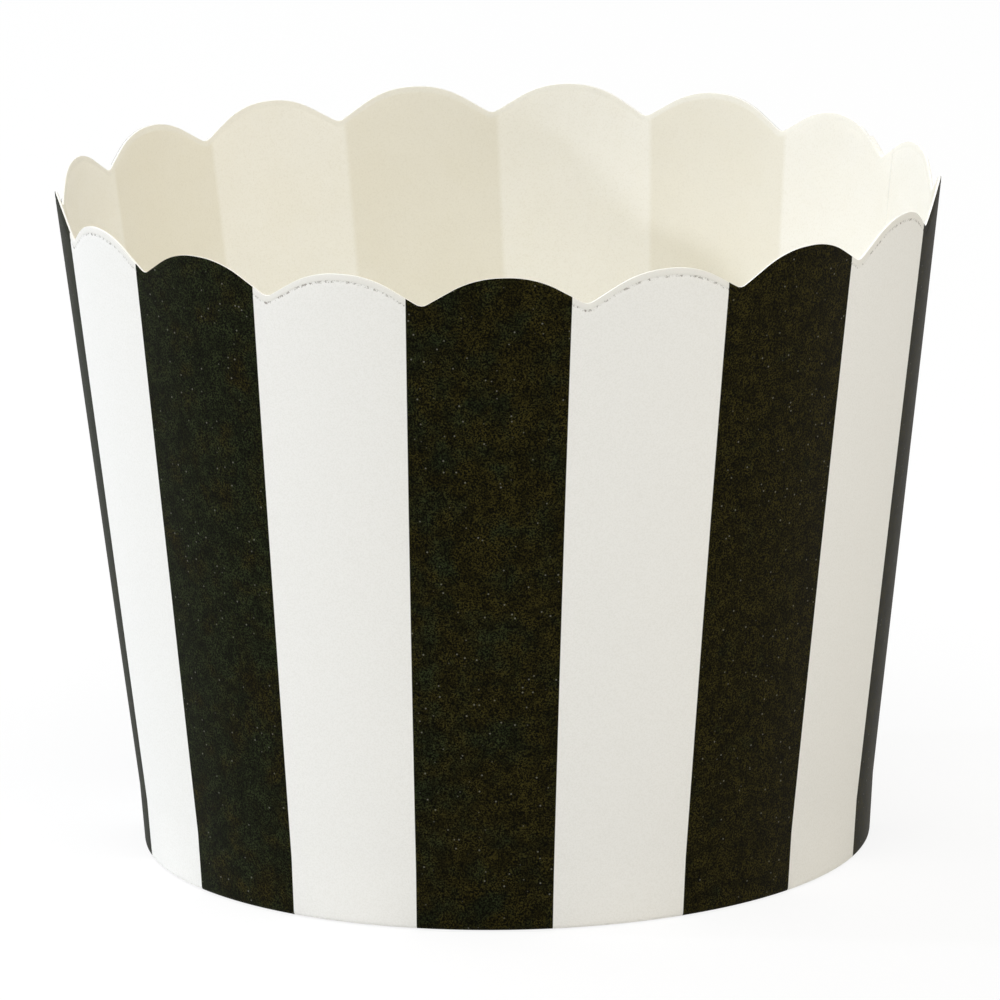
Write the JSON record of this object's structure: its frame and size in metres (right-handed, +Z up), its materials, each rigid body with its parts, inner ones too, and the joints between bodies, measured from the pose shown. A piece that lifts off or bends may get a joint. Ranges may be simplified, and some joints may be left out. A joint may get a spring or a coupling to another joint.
{
  "type": "scalloped paper baking cup",
  "caption": "Stiff paper baking cup with a scalloped rim, black and white vertical stripes, a glued side seam and a recessed base held in the folded foot.",
  "frame": {"origin": "centre of the foot, on the surface that the cup stands on", "axes": "+Z up through the mouth; -Y is the front, seen in the picture; the glued side seam is behind the right-hand side, 27 degrees from +X towards +Y"},
  "size_m": [0.0699, 0.0698, 0.0534],
  "materials": {
    "printed_paper": "satin coated paper, printed outside in black and white stripes",
    "plain_paper": "satin coated, unprinted cream white"
  },
  "bodies": {
    "root": {"side_wall": "printed_paper", "base_disc": "plain_paper"}
  },
  "joints": []
}
